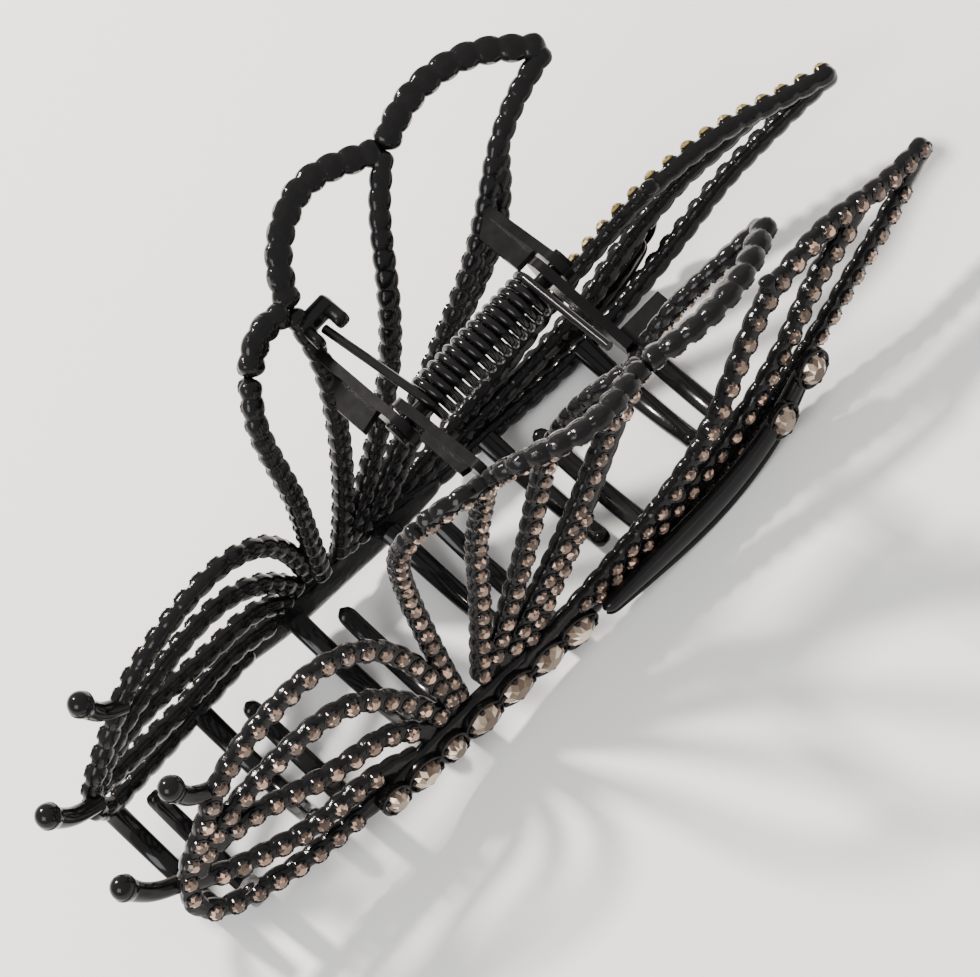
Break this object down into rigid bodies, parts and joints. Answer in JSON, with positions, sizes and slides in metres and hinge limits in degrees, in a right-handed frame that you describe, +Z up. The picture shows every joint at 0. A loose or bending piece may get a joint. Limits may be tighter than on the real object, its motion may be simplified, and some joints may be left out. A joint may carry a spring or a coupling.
{
  "type": "butterfly claw hair clip",
  "caption": "Black lacquered butterfly claw clip with openwork beaded wings, champagne stones, interlaced claw teeth and a sprung hinge.",
  "frame": {"origin": "middle of the clip's footprint, on the surface it rests on", "axes": "+X along the hinge pin towards the long wings, +Y from the front half to the back half, +Z up"},
  "size_m": [0.1272, 0.0576, 0.0482],
  "materials": {
    "black_lacquer": "gloss",
    "champagne_crystal": "polished",
    "spring_steel": "gloss"
  },
  "bodies": {
    "front_half": {"front_hindwing": "black_lacquer", "front_forewing": "black_lacquer", "front_handle": "black_lacquer", "front_body": "black_lacquer", "front_antenna": "black_lacquer", "front_left_ear": "black_lacquer", "front_right_ear": "black_lacquer", "front_stone_1": "champagne_crystal", "front_stone_2": "champagne_crystal", "front_stone_3": "champagne_crystal", "front_stone_4": "champagne_crystal", "front_stone_5": "champagne_crystal", "front_stone_6": "champagne_crystal", "front_stone_7": "champagne_crystal", "front_stone_8": "champagne_crystal", "front_stone_9": "champagne_crystal", "hinge_pin": "black_lacquer", "spring": "spring_steel"},
    "back_half": {"back_hindwing": "black_lacquer", "back_forewing": "black_lacquer", "back_handle": "black_lacquer", "back_body": "black_lacquer", "back_antenna": "black_lacquer", "back_left_ear": "black_lacquer", "back_right_ear": "black_lacquer", "back_stone_1": "champagne_crystal", "back_stone_2": "champagne_crystal", "back_stone_3": "champagne_crystal", "back_stone_4": "champagne_crystal", "back_stone_5": "champagne_crystal", "back_stone_6": "champagne_crystal", "back_stone_7": "champagne_crystal", "back_stone_8": "champagne_crystal", "back_stone_9": "champagne_crystal"}
  },
  "joints": [
    {"name": "claw_hinge", "type": "hinge", "parent": "front_half", "child": "back_half", "pos_m": [0.00916, 0, 0.0355], "axis": [1, 0, 0], "range_deg": [0, 60], "stiffness_Nm_per_rad": 0.19, "springref_deg": -45.84, "deforming": ["spring"]}
  ]
}
